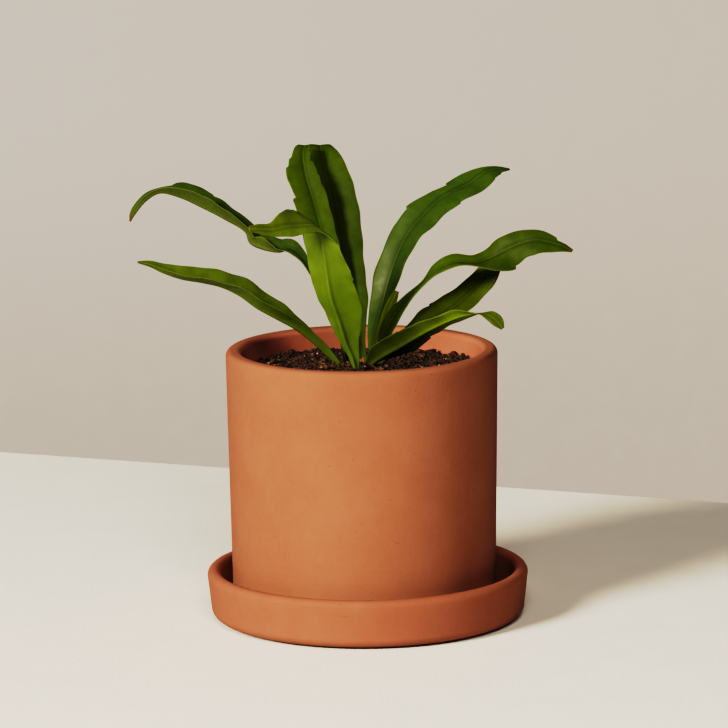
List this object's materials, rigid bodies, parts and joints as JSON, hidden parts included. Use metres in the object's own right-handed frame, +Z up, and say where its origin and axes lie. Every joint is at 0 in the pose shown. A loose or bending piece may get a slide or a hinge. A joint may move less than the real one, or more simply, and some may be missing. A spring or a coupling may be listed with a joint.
{
  "type": "potted birds nest fern",
  "caption": "Young bird's nest fern with waved, strap-shaped fronds on a low scaly crown, in a straight terracotta pot that stands on a matching round saucer.",
  "frame": {"origin": "the saucer's flat underside, straight below the pot's axis", "axes": "+Z up out of the pot, +Y away from the viewer of the picture, +X to that viewer's right"},
  "size_m": [0.1964, 0.1424, 0.2065],
  "materials": {
    "pot_terracotta": "matt unglazed fired clay",
    "saucer_terracotta": "matt unglazed fired clay",
    "potting_mix": "moist, loose bark and peat mix",
    "crown_scales": "papery brown scales",
    "frond_green": "smooth, leathery, semi-gloss",
    "frond_deep": "smooth, leathery, semi-gloss",
    "frond_fresh": "smooth, leathery, satin"
  },
  "bodies": {
    "root": {"saucer": "saucer_terracotta", "pot": "pot_terracotta", "soil": "potting_mix", "crown": "crown_scales", "frond_front_left": "frond_fresh", "frond_front_right": "frond_fresh", "frond_left_low": "frond_green", "frond_left_high": "frond_green", "frond_back_left": "frond_deep", "frond_back": "frond_deep", "frond_right_high": "frond_green", "frond_right_middle": "frond_green", "frond_right_low": "frond_deep", "frond_young": "frond_deep"}
  },
  "joints": []
}
